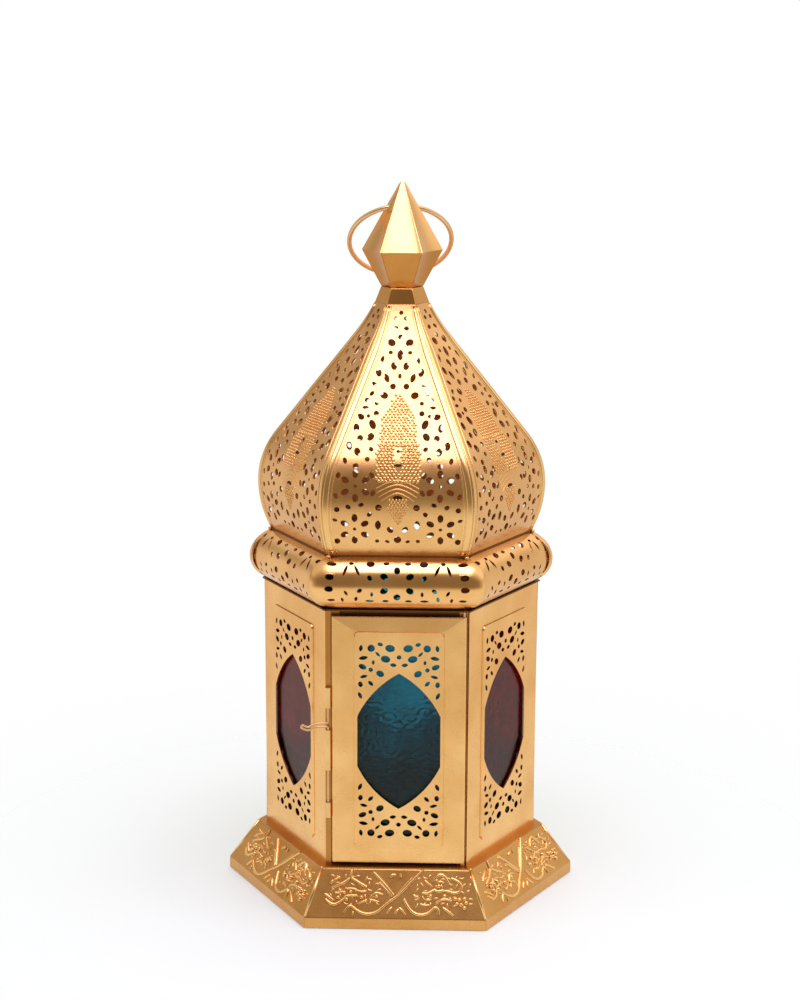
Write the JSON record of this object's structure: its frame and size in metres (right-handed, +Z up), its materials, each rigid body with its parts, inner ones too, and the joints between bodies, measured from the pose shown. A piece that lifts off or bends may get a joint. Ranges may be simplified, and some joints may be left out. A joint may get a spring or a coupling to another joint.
{
  "type": "hexagonal pierced lantern",
  "caption": "Hexagonal pierced metal lantern with coloured panes, a hinged and latched door, an ogee dome and a hanging ring, for a candle.",
  "frame": {"origin": "on the ground under the middle of the base", "axes": "+Z up along the lantern's axis, -Y out of the door"},
  "size_m": [0.15, 0.13, 0.3],
  "materials": {
    "gold_sheet": "satin gold pressed sheet",
    "gold_inner": "dull gold sheet",
    "gold_wire": "drawn gold wire",
    "teal_glass": "figured teal glass",
    "ruby_glass": "figured ruby glass"
  },
  "bodies": {
    "lantern": {"base_panel_back": "ruby_glass", "base_panel_back_left": "ruby_glass", "base_panel_back_right": "ruby_glass", "base_panel_front": "ruby_glass", "base_panel_front_left": "ruby_glass", "base_panel_front_right": "ruby_glass", "base_top_plate": "gold_sheet", "candle_cup": "gold_inner", "corner_post_back_left": "gold_inner", "corner_post_back_right": "gold_inner", "corner_post_hinge": "gold_inner", "corner_post_latch": "gold_inner", "corner_post_left": "gold_inner", "corner_post_right": "gold_inner", "dome_gore_back": "gold_sheet", "dome_gore_back_left": "gold_sheet", "dome_gore_back_right": "gold_sheet", "dome_gore_front": "gold_sheet", "dome_gore_front_left": "gold_sheet", "dome_gore_front_right": "gold_sheet", "door_header": "gold_inner", "door_sill": "gold_inner", "finial_lower": "gold_sheet", "finial_upper": "gold_sheet", "hinge_wire": "gold_wire", "latch_guide_lower": "gold_sheet", "latch_guide_middle": "gold_sheet", "latch_guide_upper": "gold_sheet", "lower_deck": "gold_sheet", "neck_collar": "gold_sheet", "rim_segment_back": "gold_sheet", "rim_segment_back_left": "gold_sheet", "rim_segment_back_right": "gold_sheet", "rim_segment_front": "gold_sheet", "rim_segment_front_left": "gold_sheet", "rim_segment_front_right": "gold_sheet", "side_pane_back": "teal_glass", "side_pane_back_left": "ruby_glass", "side_pane_back_right": "ruby_glass", "side_pane_clips_back": "gold_inner", "side_pane_clips_back_left": "gold_inner", "side_pane_clips_back_right": "gold_inner", "side_pane_clips_front_left": "gold_inner", "side_pane_clips_front_right": "gold_inner", "side_pane_front_left": "ruby_glass", "side_pane_front_right": "ruby_glass", "side_panel_back": "ruby_glass", "side_panel_back_left": "ruby_glass", "side_panel_back_right": "ruby_glass", "side_panel_front_left": "ruby_glass", "side_panel_front_right": "ruby_glass", "upper_deck": "gold_sheet"},
    "door": {"door_panel": "ruby_glass", "door_pane": "teal_glass", "door_pane_clips": "gold_inner"},
    "latch": {"latch_wire": "gold_wire"},
    "ring": {"hanging_ring": "gold_wire"}
  },
  "joints": [
    {"name": "door_hinge", "type": "hinge", "parent": "lantern", "child": "door", "pos_m": [0.02729, -0.04978, 0.077], "axis": [0, 0, 1], "range_deg": [0, 115]},
    {"name": "latch_turn", "type": "hinge", "parent": "lantern", "child": "latch", "pos_m": [-0.0281, -0.05163, 0.0813], "axis": [0, 0, 1], "range_deg": [0, 160]},
    {"name": "ring_swing", "type": "hinge", "parent": "lantern", "child": "ring", "pos_m": [0, 0, 0.28952], "axis": [0.9962, 0.0872, 0], "range_deg": [-25, 299]}
  ]
}
